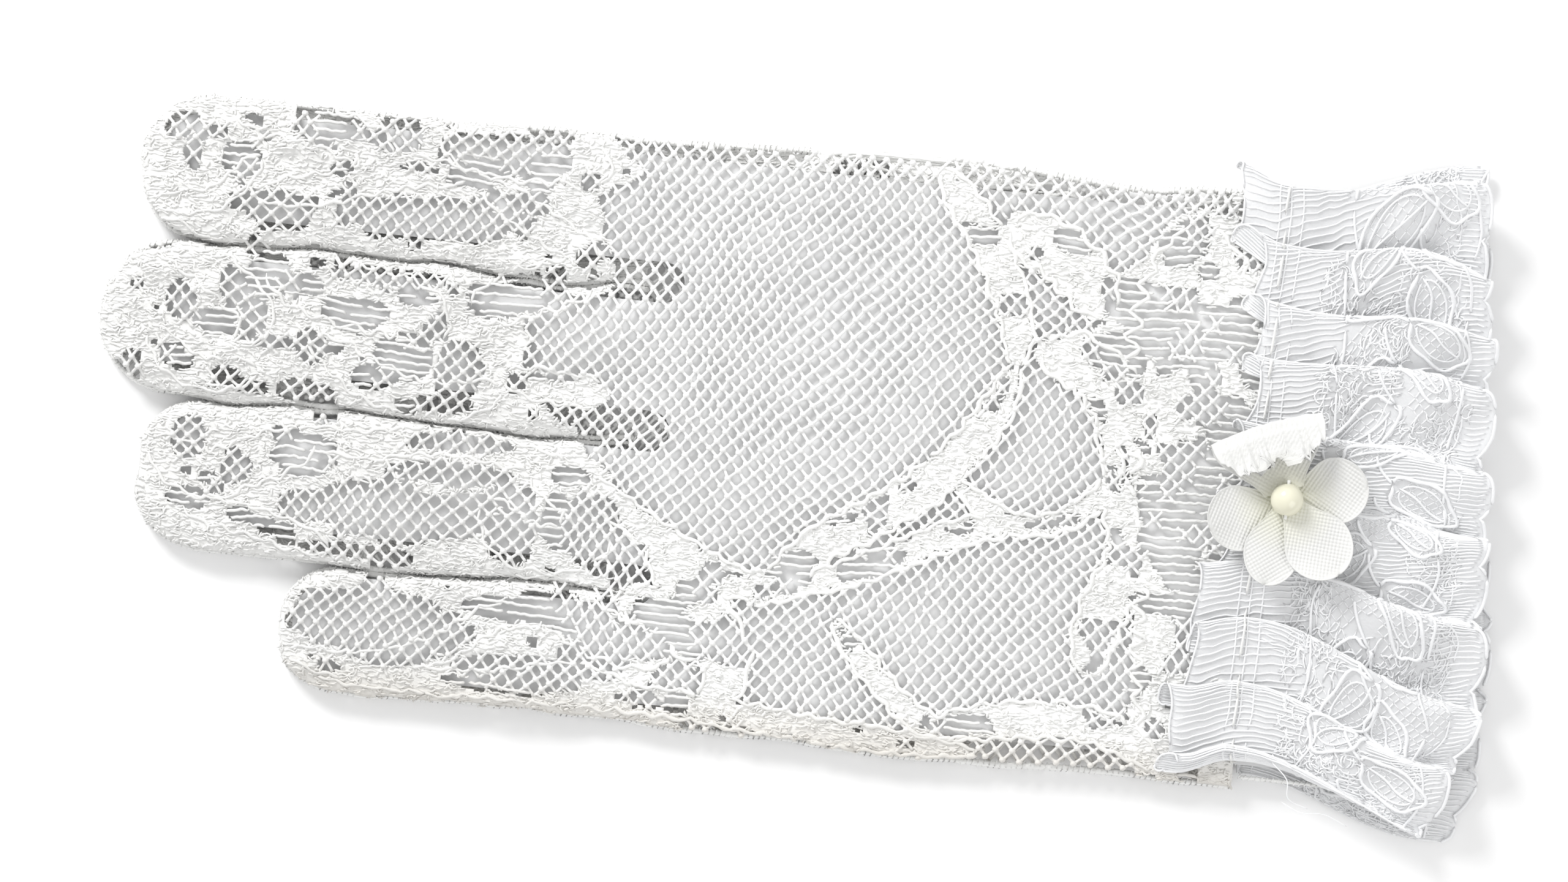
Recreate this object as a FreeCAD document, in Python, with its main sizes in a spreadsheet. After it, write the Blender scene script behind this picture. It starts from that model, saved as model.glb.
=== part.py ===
import FreeCAD, Part
import math
import os

# Lace wedding glove for the left hand, lying palm down, with its insert card inside.
# Millimetres. +X runs from the fingertips to the cuff, +Y from the little finger to the
# index finger, +Z up. The origin is under the centre of the glove, on the table.

doc = FreeCAD.newDocument("lace_glove")
os.makedirs("parts", exist_ok=True)

DIMENSIONS = [
    # hand and cuff outline
    ("crotch_line", -27.0), ("cuff_end", 74.0), ("hand_low", -48.0), ("hand_high", 45.8),
    # layers, counted from the table
    ("lace_thick", 0.5), ("back_floor", 3.2), ("back_thick", 0.6), ("seam_width", 0.9),
    # fingers of the glove
    ("index_low", 22.2), ("index_high", 45.0), ("index_tip", -109.0),
    ("middle_low", -2.4), ("middle_high", 21.4), ("middle_tip", -113.0),
    ("ring_low", -27.0), ("ring_high", -3.2), ("ring_tip", -105.0),
    ("little_low", -47.4), ("little_high", -27.8), ("little_tip", -80.0),
    # insert card
    ("card_floor", 2.3), ("card_thick", 0.6), ("card_end", 82.0),
    ("slot_centre", -24.25), ("slot_radius", 3.25),
    ("card_index_low", 25.85), ("card_index_high", 42.6), ("card_index_tip", -106.3),
    ("card_middle_low", 2.05), ("card_middle_high", 19.35), ("card_middle_tip", -110.3),
    ("card_ring_low", -22.65), ("card_ring_high", -4.45), ("card_ring_tip", -101.8),
    ("card_little_low", -44.6), ("card_little_high", -29.15), ("card_little_tip", -77.8),
    # thumb, folded flat under the palm
    ("thumb_root_x", 14.0), ("thumb_edge", 46.2), ("thumb_angle", 240.0),
    ("thumb_width", 23.0), ("thumb_length", 62.0), ("thumb_gap", 0.2),
    ("pocket_clear", 1.2), ("pocket_wall", 0.6), ("pocket_roof", 1.5),
    # ruffle of gathered lace trim
    ("ruffle_start", 68.0), ("ruffle_end", 113.0), ("trim_thick", 0.6), ("folds", 11),
    ("gathered_half", 47.0), ("free_half", 55.0),
    ("upper_gathered_mid", 4.9), ("upper_free_mid", 6.4),
    ("upper_gathered_rise", 0.6), ("upper_free_rise", 2.4),
    ("lower_start", 74.6), ("lower_mid", 0.98), ("lower_gathered_rise", 0.35),
    ("lower_free_rise", 0.6), ("thread_radius", 0.3), ("upper_thread_x", 72.0),
    ("join_inset", 4.0), ("join_width", 0.8),
    # flower and pearl
    ("flower_x", 77.3), ("flower_y", -1.8), ("backing_radius", 5.0), ("backing_floor", 6.8),
    ("backing_thick", 0.5), ("petal_floor", 7.4), ("petal_step", 0.85),
    ("petal_thick", 0.6), ("petal_reach", 8.0), ("petal_half_length", 4.5),
    ("petal_half_width", 4.1), ("petal_tilt", 8.0), ("top_petal_half_width", 7.4),
    ("top_petal_reach", 6.7), ("top_petal_half_length", 3.4),
    ("pearl_radius", 2.6), ("pearl_bore", 0.45), ("pearl_thread_radius", 0.25),
    ("pearl_thread_half", 2.85),
    # construction: how far joined pieces overlap and cutters reach past what they cut
    ("overlap", 1.0), ("overrun", 5.0), ("cut_reach", 150.0), ("seam_clear", 1.2),
    ("thread_inset", 1.0),
]

sheet = doc.addObject("Spreadsheet::Sheet", "Dims")
for row, (name, value) in enumerate(DIMENSIONS, start=1):
    sheet.set("A%d" % row, name)
    sheet.set("B%d" % row, str(value))
    sheet.setAlias("B%d" % row, name)
doc.recompute()


def size(name):
    """Value of one cell, for shapes that are computed in code."""
    return float(sheet.get(name))


def bind(thing, **bindings):
    """Tie properties to spreadsheet expressions; x, y and z place the object."""
    for key, formula in bindings.items():
        target = ".Placement.Base." + key if key in ("x", "y", "z") else key
        thing.setExpression(target, formula)
    return thing


def box(name, low, high):
    """Box between two corners, each a triple of spreadsheet formulas."""
    thing = doc.addObject("Part::Box", name)
    spans = ["(%s) - (%s)" % (b, a) for a, b in zip(low, high)]
    return bind(thing, x=low[0], y=low[1], z=low[2],
                Length=spans[0], Width=spans[1], Height=spans[2])


def rod(name, centre, radius, height):
    """Upright cylinder on a centre given as a triple of formulas."""
    thing = doc.addObject("Part::Cylinder", name)
    return bind(thing, x=centre[0], y=centre[1], z=centre[2], Radius=radius, Height=height)


def fuse(name, pieces):
    thing = doc.addObject("Part::MultiFuse", name)
    thing.Shapes = pieces
    return thing


def cut(name, base, tool):
    thing = doc.addObject("Part::Cut", name)
    thing.Base = base
    thing.Tool = tool
    return thing


def common(name, first, second):
    thing = doc.addObject("Part::MultiCommon", name)
    thing.Shapes = [first, second]
    return thing


nodes = []


def node(thing, label):
    """Give a finished piece its name and list it for export."""
    thing.Label = label
    nodes.append(thing)
    return thing


def strip_pieces(name, low, high, tip, end, floor, top, inset="0"):
    """A finger: a straight strip along X with a half-round tip, pulled in by inset."""
    radius = "((%s) - (%s)) / 2 - (%s)" % (high, low, inset)
    centre_x = "(%s) + ((%s) - (%s)) / 2" % (tip, high, low)
    centre_y = "((%s) + (%s)) / 2" % (high, low)
    bar = box(name + "_bar", (centre_x, "(%s) + (%s)" % (low, inset), floor),
              (end, "(%s) - (%s)" % (high, inset), top))
    cap = rod(name + "_cap", (centre_x, centre_y, floor), radius, "(%s) - (%s)" % (top, floor))
    return [bar, cap]


FINGERS = ["index", "middle", "ring", "little"]


def outline_pieces(name, floor, top):
    """The whole hand outline, without the thumb, between two heights."""
    pieces = [box(name + "_hand", ("Dims.crotch_line", "Dims.hand_low", floor),
                  ("Dims.cuff_end", "Dims.hand_high", top))]
    for finger in FINGERS:
        limits = ["Dims.%s_%s" % (finger, side) for side in ("low", "high", "tip")]
        pieces += strip_pieces("%s_%s" % (name, finger), *limits,
                               end="Dims.crotch_line + Dims.overlap", floor=floor, top=top)
    return pieces


def thumb_strip(name, grow, floor, top, edge):
    """The folded thumb: a slanting strip with a round tip, cut off straight at the edge."""
    half = "Dims.thumb_width / 2 + (%s)" % grow
    centre = "Dims.thumb_length - Dims.thumb_width / 2"
    bar = doc.addObject("Part::Box", name + "_bar")
    overrun = "Dims.thumb_width"
    bind(bar, Length=overrun + " + " + centre, Width="2 * (%s)" % half,
         Height="(%s) - (%s)" % (top, floor))
    cap = doc.addObject("Part::Cylinder", name + "_cap")
    bind(cap, Radius=half, Height="(%s) - (%s)" % (top, floor))
    for thing, along, across in ((bar, "0 - " + overrun, half), (cap, centre, "0")):
        thing.Placement.Rotation = FreeCAD.Rotation(FreeCAD.Vector(0, 0, 1), size("thumb_angle"))
        bind(thing, z=floor,
             x="Dims.thumb_root_x + (%s) * cos(Dims.thumb_angle)"
               " + (%s) * sin(Dims.thumb_angle)" % (along, across),
             y="Dims.thumb_edge + (%s) * sin(Dims.thumb_angle)"
               " - (%s) * cos(Dims.thumb_angle)" % (along, across))
    strip = fuse(name + "_strip", [bar, cap])
    half_plane = box(name + "_side", ("0 - Dims.cut_reach", "0 - Dims.cut_reach",
                                 "(%s) - Dims.overlap" % floor),
                     ("Dims.cut_reach", edge, "(%s) + Dims.overlap" % top))
    return common(name + "_flat", strip, half_plane)


def make_panels():
    """Back and palm of the glove; the palm humps over the folded thumb."""
    back_top = "Dims.back_floor + Dims.back_thick"
    node(fuse("BackPanel", outline_pieces("back", "Dims.back_floor", back_top)),
         "back_lace_panel")
    sheet_pieces = outline_pieces("palm", "0", "Dims.lace_thick")
    hump = thumb_strip("hump", "Dims.pocket_clear + Dims.pocket_wall", "0",
                       "Dims.pocket_roof + Dims.lace_thick", "Dims.hand_high")
    pocket = thumb_strip("pocket", "Dims.pocket_clear", "0 - Dims.overlap", "Dims.pocket_roof",
                         "Dims.thumb_edge + Dims.overrun")
    node(cut("PalmPanel", fuse("PalmBlank", sheet_pieces + [hump]), pocket),
         "palm_lace_panel")


def make_seams():
    """Overlocked seams that join back and palm: four fingers, then the hand's two sides."""
    floor, top = "Dims.lace_thick", "Dims.back_floor"
    for place, finger in enumerate(FINGERS):
        limits = ["Dims.%s_%s" % (finger, side) for side in ("low", "high", "tip")]
        outer = strip_pieces("seam_%s_outer" % finger, *limits, end="Dims.crotch_line",
                             floor=floor, top=top)
        inner = strip_pieces("seam_%s_inner" % finger, *limits,
                             end="Dims.crotch_line + Dims.overrun", floor=floor, top=top,
                             inset="Dims.seam_width")
        wall = cut("Seam_" + finger, fuse("Outer_" + finger, outer),
                   fuse("Inner_" + finger, inner))
        if finger != "little":
            below = FINGERS[place + 1]
            web = box("web_" + finger,
                      ("Dims.crotch_line", "Dims.%s_high - Dims.seam_width" % below, floor),
                      ("Dims.crotch_line + Dims.seam_width",
                       "Dims.%s_low + Dims.seam_width" % finger, top))
            wall = fuse("SeamWeb_" + finger, [wall, web])
        node(wall, "seam_%s_finger" % finger)
    root_half = "(Dims.thumb_width / 2 + Dims.pocket_clear + Dims.pocket_wall + Dims.seam_clear)" \
                " / abs(sin(Dims.thumb_angle))"
    runs = [
        ("seam_index_side_upper", "Dims.crotch_line", "Dims.thumb_root_x - " + root_half,
         "Dims.hand_high - Dims.seam_width", "Dims.hand_high"),
        ("seam_index_side_lower", "Dims.thumb_root_x + " + root_half, "Dims.cuff_end",
         "Dims.hand_high - Dims.seam_width", "Dims.hand_high"),
        ("seam_little_side", "Dims.crotch_line + Dims.seam_width", "Dims.cuff_end",
         "Dims.hand_low", "Dims.hand_low + Dims.seam_width"),
    ]
    for label, start, end, low, high in runs:
        node(box("Run_" + label, (start, low, floor), (end, high, top)), label)


def make_card():
    """Flat hand form with a round-ended slot between each two fingers."""
    floor, top = "Dims.card_floor", "Dims.card_floor + Dims.card_thick"
    pieces = [box("card_hand", ("Dims.slot_centre", "Dims.card_little_low", floor),
                  ("Dims.card_end", "Dims.card_index_high", top))]
    for finger in FINGERS:
        limits = ["Dims.card_%s_%s" % (finger, side) for side in ("low", "high", "tip")]
        pieces += strip_pieces("card_" + finger, *limits, end="Dims.slot_centre + Dims.overlap",
                               floor=floor, top=top)
    ends = []
    for upper, lower in zip(FINGERS, FINGERS[1:]):
        middle = "(Dims.card_%s_low + Dims.card_%s_high) / 2" % (upper, lower)
        ends.append(rod("slot_%s" % lower, ("Dims.slot_centre", middle, floor + " - 1"),
                        "Dims.slot_radius", "Dims.card_thick + 2"))
    node(cut("InsertCard", fuse("CardBlank", pieces), fuse("CardSlots", ends)), "insert_card")


def make_thumb():
    """Two lace halves of the thumb, and the seam that runs round between them."""
    mid, top = "Dims.lace_thick", "Dims.lace_thick + Dims.thumb_gap"
    edge = "Dims.thumb_edge"
    node(thumb_strip("thumb_under", "0", "0", mid, edge), "thumb_back_panel")
    node(thumb_strip("thumb_over", "0", top, top + " + Dims.lace_thick", edge),
         "thumb_palm_panel")
    whole = thumb_strip("thumb_seam_out", "0", mid, top, edge)
    inside = thumb_strip("thumb_seam_in", "0 - Dims.seam_width", mid, top, edge + " + Dims.overrun")
    node(cut("ThumbSeam", whole, inside), "seam_thumb")


def wave_wire(x, half, middle, rise):
    """Closed outline of the folded trim, seen along X: two equal waves and two ends."""
    folds = int(size("folds"))
    steps = folds * 8
    edges = []
    rows = []
    for offset in (-size("trim_thick") / 2, size("trim_thick") / 2):
        points = []
        for step in range(steps + 1):
            share = step / steps
            lift = rise * math.sin(2 * math.pi * folds * share)
            points.append(FreeCAD.Vector(x, half * (2 * share - 1), middle + offset + lift))
        curve = Part.BSplineCurve()
        curve.interpolate(points)
        edges.append(curve.toShape())
        rows.append(points)
    edges.insert(1, Part.makeLine(rows[0][-1], rows[1][-1]))
    edges.append(Part.makeLine(rows[1][0], rows[0][0]))
    return Part.Wire(Part.__sortEdges__(edges))


def make_ruffle():
    """Gathered trim: the half on the back, the half under the palm, its join and threads."""
    halves = [
        ("ruffle_upper", "ruffle_start", "upper_gathered_mid", "upper_free_mid",
         "upper_gathered_rise", "upper_free_rise"),
        ("ruffle_lower", "lower_start", "lower_mid", "lower_mid",
         "lower_gathered_rise", "lower_free_rise"),
    ]
    for label, start, mid_a, mid_b, rise_a, rise_b in halves:
        sewn = wave_wire(size(start), size("gathered_half"), size(mid_a), size(rise_a))
        free = wave_wire(size("ruffle_end"), size("free_half"), size(mid_b), size(rise_b))
        thing = doc.addObject("Part::Feature", "Trim_" + label)
        thing.Shape = Part.makeLoft([sewn, free], True, True)
        node(thing, label)
    join_y = "0 - Dims.gathered_half"
    node(box("TrimJoin", ("Dims.lower_start", join_y,
                          "Dims.lower_mid + Dims.lower_free_rise + Dims.trim_thick"),
             ("Dims.ruffle_end - Dims.join_inset", join_y + " + Dims.join_width", "Dims.back_floor")),
         "ruffle_join_seam")
    for label, x, z in (
            ("gathering_thread_upper", "Dims.upper_thread_x",
             "Dims.upper_free_mid + Dims.thread_radius"),
            ("gathering_thread_lower", "(Dims.cuff_end + Dims.lower_start) / 2",
             "Dims.lower_mid")):
        thread = doc.addObject("Part::Cylinder", "Thread_" + label)
        thread.Placement.Rotation = FreeCAD.Rotation(FreeCAD.Vector(1, 0, 0), -90)
        bind(thread, Radius="Dims.thread_radius", Height="2 * (Dims.gathered_half - Dims.thread_inset)",
             x=x, y="Dims.thread_inset - Dims.gathered_half", z=z)
        node(thread, label)


def make_petal(label, angle, level, half_length, half_width, reach):
    """One oval petal: a padded ellipse that leans up and outwards."""
    body = doc.addObject("PartDesign::Body", "Body_" + label)
    sketch = body.newObject("Sketcher::SketchObject", "Sketch_" + label)
    plane = [part for part in body.Origin.OriginFeatures if part.Role == "XY_Plane"][0]
    sketch.AttachmentSupport = [(plane, "")]
    sketch.MapMode = "FlatFace"
    centre = FreeCAD.Vector(size(reach), 0, 0)
    wide = size(half_width) > size(half_length)
    major, minor = max(size(half_width), size(half_length)), min(size(half_width),
                                                                 size(half_length))
    first = FreeCAD.Vector(0, major, 0) if wide else FreeCAD.Vector(major, 0, 0)
    second = FreeCAD.Vector(-minor, 0, 0) if wide else FreeCAD.Vector(0, minor, 0)
    sketch.addGeometry(Part.Ellipse(centre + first, centre + second, centre), False)
    pad = body.newObject("PartDesign::Pad", "Pad_" + label)
    pad.Profile = sketch
    pad.setExpression("Length", "Dims.petal_thick")
    turn = FreeCAD.Rotation(FreeCAD.Vector(0, 0, 1), angle)
    lean = FreeCAD.Rotation(FreeCAD.Vector(0, 1, 0), -size("petal_tilt"))
    body.Placement.Rotation = turn.multiply(lean)
    bind(body, x="Dims.flower_x", y="Dims.flower_y",
         z="Dims.petal_floor + %d * Dims.petal_step" % level)
    node(body, label)


def make_flower():
    """Five petals round a pearl, on a small backing disc."""
    node(rod("Backing", ("Dims.flower_x", "Dims.flower_y", "Dims.backing_floor"),
             "Dims.backing_radius", "Dims.backing_thick"), "flower_backing")
    plain = ("petal_half_length", "petal_half_width", "petal_reach")
    folded = ("top_petal_half_length", "top_petal_half_width", "top_petal_reach")
    for label, angle, level, shape in (
            ("petal_cuff_side", 11, 0, plain), ("petal_index_side", 110, 1, folded),
            ("petal_finger_side", 205, 0, plain), ("petal_little_side", 262, 1, plain),
            ("petal_corner", 306, 2, plain)):
        make_petal(label, angle, level, *shape)
    centre_z = "Dims.backing_floor + Dims.backing_thick + Dims.pearl_radius"
    ball = doc.addObject("Part::Sphere", "Ball")
    bind(ball, Radius="Dims.pearl_radius", x="Dims.flower_x", y="Dims.flower_y", z=centre_z)
    bars = []
    for name, radius, half in (("Bore", "Dims.pearl_bore", "Dims.pearl_radius + Dims.overlap"),
                               ("Stitch", "Dims.pearl_thread_radius",
                                "Dims.pearl_thread_half + Dims.pearl_thread_radius")):
        bar = doc.addObject("Part::Cylinder", name)
        bar.Placement.Rotation = FreeCAD.Rotation(FreeCAD.Vector(1, 0, 0), -90)
        bind(bar, Radius=radius, Height="2 * (%s)" % half, x="Dims.flower_x",
             y="Dims.flower_y - (%s)" % half, z=centre_z)
        bars.append(bar)
    node(cut("Pearl", ball, bars[0]), "pearl")
    legs = [rod("Leg%d" % place, ("Dims.flower_x", "Dims.flower_y + (%s)" % shift,
                                  "Dims.backing_floor + Dims.backing_thick"),
                "Dims.pearl_thread_radius", "Dims.pearl_radius")
            for place, shift in enumerate(("0 - Dims.pearl_thread_half",
                                           "Dims.pearl_thread_half"))]
    node(fuse("PearlThread", bars[1:] + legs), "pearl_thread")


make_panels()
make_seams()
make_card()
make_thumb()
make_ruffle()
make_flower()
doc.recompute()

for thing in doc.Objects:
    if "Invalid" in thing.State or "Error" in thing.State:
        raise RuntimeError("%s failed: %s" % (thing.Name, thing.State))
for thing in nodes:
    if thing.Shape.isNull() or not thing.Shape.isValid():
        raise RuntimeError("%s has no valid shape" % thing.Label)
for thing in nodes:
    thing.Shape.exportStep("parts/%s.step" % thing.Label)
    limits = thing.Shape.BoundBox
    print("%-26s %8.1f mm3  %s solids  x %.1f %.1f  y %.1f %.1f  z %.2f %.2f" % (
        thing.Label, thing.Shape.Volume, len(thing.Shape.Solids), limits.XMin, limits.XMax,
        limits.YMin, limits.YMax, limits.ZMin, limits.ZMax))
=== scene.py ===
import bpy
import math
import numpy as np
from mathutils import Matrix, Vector


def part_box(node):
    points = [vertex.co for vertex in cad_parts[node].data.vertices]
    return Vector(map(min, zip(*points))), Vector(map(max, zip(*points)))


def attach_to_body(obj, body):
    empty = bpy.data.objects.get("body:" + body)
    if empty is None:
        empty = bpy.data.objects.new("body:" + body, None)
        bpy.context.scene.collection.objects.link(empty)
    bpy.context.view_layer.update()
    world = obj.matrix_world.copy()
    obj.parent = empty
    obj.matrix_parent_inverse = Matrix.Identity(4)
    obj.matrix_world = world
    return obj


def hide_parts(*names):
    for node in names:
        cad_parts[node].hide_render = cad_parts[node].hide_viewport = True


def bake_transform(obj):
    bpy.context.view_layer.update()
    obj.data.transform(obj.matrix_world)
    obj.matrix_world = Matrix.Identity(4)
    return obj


# Lace wedding glove. Lengths in this script are in millimetres until mesh() writes them
# in metres. +X runs to the cuff, +Y to the index finger, +Z up out of the back of the hand.

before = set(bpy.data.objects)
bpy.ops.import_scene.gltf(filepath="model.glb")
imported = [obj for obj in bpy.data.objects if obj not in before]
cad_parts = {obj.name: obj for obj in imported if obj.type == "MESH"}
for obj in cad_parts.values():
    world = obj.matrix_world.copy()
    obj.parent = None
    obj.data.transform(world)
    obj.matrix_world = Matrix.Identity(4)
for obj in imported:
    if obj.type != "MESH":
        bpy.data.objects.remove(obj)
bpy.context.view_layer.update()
MM = 0.001
UP = np.array([0.13, 0.21, 0.97]) / np.linalg.norm([0.13, 0.21, 0.97])  # never along a thread
GRID = np.random.default_rng(11).uniform(-1.0, 1.0, (16, 128, 128))


# ---------------------------------------------------------------- helpers

def corners(node):
    """Lowest and highest corner of a CAD node, in millimetres."""
    low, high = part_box(node)
    return np.array(low) / MM, np.array(high) / MM


def noise(x, y, size, seed=0):
    """Smooth value noise from -1 to 1, with features about size across."""
    u = np.asarray(x, float) / size + 17.3 * seed + 400
    v = np.asarray(y, float) / size + 31.7 * seed + 400
    i, j = np.floor(u).astype(int), np.floor(v).astype(int)
    fu, fv = u - i, v - j
    fu, fv = fu * fu * (3 - 2 * fu), fv * fv * (3 - 2 * fv)
    grid = GRID[seed % 16]
    i0, i1, j0, j1 = i % 128, (i + 1) % 128, j % 128, (j + 1) % 128
    near = grid[i0, j0] * (1 - fu) + grid[i1, j0] * fu
    far = grid[i0, j1] * (1 - fu) + grid[i1, j1] * fu
    return near * (1 - fv) + far * fv


def smooth(value, low, high):
    """Smooth step from 0 at low to 1 at high."""
    share = np.clip((np.asarray(value, float) - low) / (high - low), 0, 1)
    return share * share * (3 - 2 * share)


def unit(vectors):
    """Vectors along the last axis, scaled to length one."""
    return vectors / (np.linalg.norm(vectors, axis=-1, keepdims=True) + 1e-9)


def attach(piece, node, body):
    """The piece shows a CAD node and rides on a body."""
    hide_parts(node)
    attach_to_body(piece, body)


def mesh(name, verts, quads, tris, material):
    """Mesh object from arrays in millimetres."""
    data = bpy.data.meshes.new(name)
    verts = np.asarray(verts, float) * MM
    quads = np.asarray(quads, int).reshape(-1, 4)
    tris = np.asarray(tris, int).reshape(-1, 3)
    loops = np.concatenate([quads.ravel(), tris.ravel()])
    starts = np.concatenate([np.arange(len(quads)) * 4,
                             len(quads) * 4 + np.arange(len(tris)) * 3])
    data.vertices.add(len(verts))
    data.vertices.foreach_set("co", verts.ravel())
    data.loops.add(len(loops))
    data.loops.foreach_set("vertex_index", loops)
    data.polygons.add(len(starts))
    data.polygons.foreach_set("loop_start", starts)
    data.polygons.foreach_set("use_smooth", np.ones(len(starts), bool))
    data.update(calc_edges=True)
    data.materials.append(material)
    thing = bpy.data.objects.new(name, data)
    bpy.context.scene.collection.objects.link(thing)
    return thing


class Parts:
    """Collects vertices and faces of many small solids for one mesh."""

    def __init__(self):
        self.verts, self.quads, self.tris, self.count = [], [], [], 0

    def add(self, verts, quads, tris):
        self.verts.append(verts.reshape(-1, 3))
        self.quads.append(quads.reshape(-1, 4) + self.count)
        self.tris.append(tris.reshape(-1, 3) + self.count)
        self.count += len(self.verts[-1])

    def tubes(self, paths, radii, sides=4):
        """Closed tubes of one length. Each path's first and last point are its tips."""
        paths, radii = np.asarray(paths, float), np.asarray(radii, float)
        if not len(paths):
            return
        amount, points, _ = paths.shape
        rings = points - 2
        tangent = unit(np.gradient(paths, axis=1)[:, 1:-1])
        side = unit(np.cross(tangent, UP))
        lift = np.cross(side, tangent)
        turn = 2 * math.pi * (np.arange(sides) + 0.5) / sides
        ring = (np.cos(turn)[:, None] * side[:, :, None, :]
                + np.sin(turn)[:, None] * lift[:, :, None, :])
        ring = paths[:, 1:-1, None, :] + radii[:, 1:-1, None, None] * ring
        verts = np.concatenate([ring.reshape(amount, -1, 3), paths[:, :1], paths[:, -1:]], axis=1)
        here = np.arange(sides)
        after = (here + 1) % sides
        step = np.arange(rings - 1)[:, None] * sides
        quads = np.stack([step + here, step + after, step + sides + after, step + sides + here],
                         axis=-1).reshape(-1, 4)
        last = (rings - 1) * sides
        tips = np.concatenate([
            np.stack([after, here, np.full(sides, rings * sides)], axis=-1),
            np.stack([last + here, last + after, np.full(sides, rings * sides + 1)], axis=-1)])
        base = (np.arange(amount) * verts.shape[1])[:, None, None]
        self.add(verts, quads[None] + base, tips[None] + base)

    def threads(self, runs, sides=4):
        """Tubes along runs of any length; each run is (points, radii)."""
        lengths = {}
        for points, radii in runs:
            if len(points) >= 4:
                lengths.setdefault(len(points), []).append((points, radii))
        for group in lengths.values():
            self.tubes(np.array([p for p, _ in group]), np.array([r for _, r in group]), sides)

    def sheet(self, points, keep, thick):
        """Closed sheet over a grid of points (rows, columns, 3), only where keep is true."""
        rows, columns, _ = points.shape
        normal = unit(np.cross(np.gradient(points, axis=1), np.gradient(points, axis=0)))
        top = points + normal * thick / 2
        bottom = points - normal * thick / 2
        index = np.arange(rows * columns).reshape(rows, columns)
        a, b, c, d = index[:-1, :-1], index[:-1, 1:], index[1:, 1:], index[1:, :-1]
        chosen = keep[:-1, :-1] & keep[:-1, 1:] & keep[1:, 1:] & keep[1:, :-1]
        upper = np.stack([a, b, c, d], axis=-1)[chosen]
        lower = upper[:, ::-1] + rows * columns
        edges = np.concatenate([upper[:, [0, 1]], upper[:, [1, 2]], upper[:, [2, 3]],
                                upper[:, [3, 0]]])
        code = edges[:, 0] * rows * columns + edges[:, 1]
        back = edges[:, 1] * rows * columns + edges[:, 0]
        rim = edges[~np.isin(code, back)]
        walls = np.stack([rim[:, 1], rim[:, 0], rim[:, 0] + rows * columns,
                          rim[:, 1] + rows * columns], axis=-1)
        quads = np.concatenate([upper, lower, walls])
        used = np.unique(quads)
        renumber = np.zeros(2 * rows * columns, int)
        renumber[used] = np.arange(len(used))
        verts = np.concatenate([top.reshape(-1, 3), bottom.reshape(-1, 3)])[used]
        self.add(verts, renumber[quads], np.zeros((0, 3), int))

    def make(self, name, material):
        return mesh(name, np.concatenate(self.verts), np.concatenate(self.quads),
                    np.concatenate(self.tris), material)


# ---------------------------------------------------------------- materials

def fill(node, **values):
    """Set a node's inputs; an underscore stands for a space in a name."""
    for key, value in values.items():
        node.inputs[key.replace("_", " ")].default_value = value
    return node


def material(name, base, vary=0.03, rough=0.85, bump=0.15, scale=2500, sheen=0.06, **extra):
    """Cloth or thread: a colour that varies a little, with fine bump."""
    made = bpy.data.materials.new(name)
    made.use_nodes = True
    nodes, links = made.node_tree.nodes, made.node_tree.links
    shader = nodes["Principled BSDF"]
    fill(shader, Roughness=rough, Sheen_Weight=sheen, Sheen_Roughness=0.5,
         Specular_IOR_Level=0.15)
    fill(shader, **extra)
    place = nodes.new("ShaderNodeTexCoord")
    broad = fill(nodes.new("ShaderNodeTexNoise"), Scale=90, Detail=4)
    ramp = nodes.new("ShaderNodeValToRGB")
    ramp.color_ramp.elements[0].position = 0.3
    ramp.color_ramp.elements[1].position = 0.7
    ramp.color_ramp.elements[0].color = [max(c - vary, 0) for c in base] + [1]
    ramp.color_ramp.elements[1].color = [min(c + vary, 1) for c in base] + [1]
    fine = fill(nodes.new("ShaderNodeTexNoise"), Scale=scale, Detail=3)
    dent = fill(nodes.new("ShaderNodeBump"), Strength=bump, Distance=0.0002)
    links.new(place.outputs["Object"], broad.inputs["Vector"])
    links.new(place.outputs["Object"], fine.inputs["Vector"])
    links.new(broad.outputs["Fac"], ramp.inputs["Fac"])
    links.new(ramp.outputs["Color"], shader.inputs["Base Color"])
    links.new(fine.outputs["Fac"], dent.inputs["Height"])
    links.new(dent.outputs["Normal"], shader.inputs["Normal"])
    return made


def tint(made, colour, shape, centre, turn, reach):
    """Blend another colour in along a gradient, placed in millimetres."""
    nodes, links = made.node_tree.nodes, made.node_tree.links
    shader = nodes["Principled BSDF"]
    before = shader.inputs["Base Color"].links[0].from_socket
    place = nodes.new("ShaderNodeTexCoord")
    mapping = nodes.new("ShaderNodeMapping")
    mapping.vector_type = "TEXTURE"
    fill(mapping, Location=[c * MM for c in centre], Rotation=(0, 0, math.radians(turn)),
         Scale=[reach * MM] * 3)
    gradient = nodes.new("ShaderNodeTexGradient")
    gradient.gradient_type = shape
    mix = nodes.new("ShaderNodeMix")
    mix.data_type = "RGBA"
    mix.inputs[7].default_value = list(colour) + [1]
    links.new(place.outputs["Object"], mapping.inputs["Vector"])
    links.new(mapping.outputs["Vector"], gradient.inputs["Vector"])
    links.new(gradient.outputs["Fac"], mix.inputs[0])
    links.new(before, mix.inputs[6])
    links.new(mix.outputs[2], shader.inputs["Base Color"])


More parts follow.
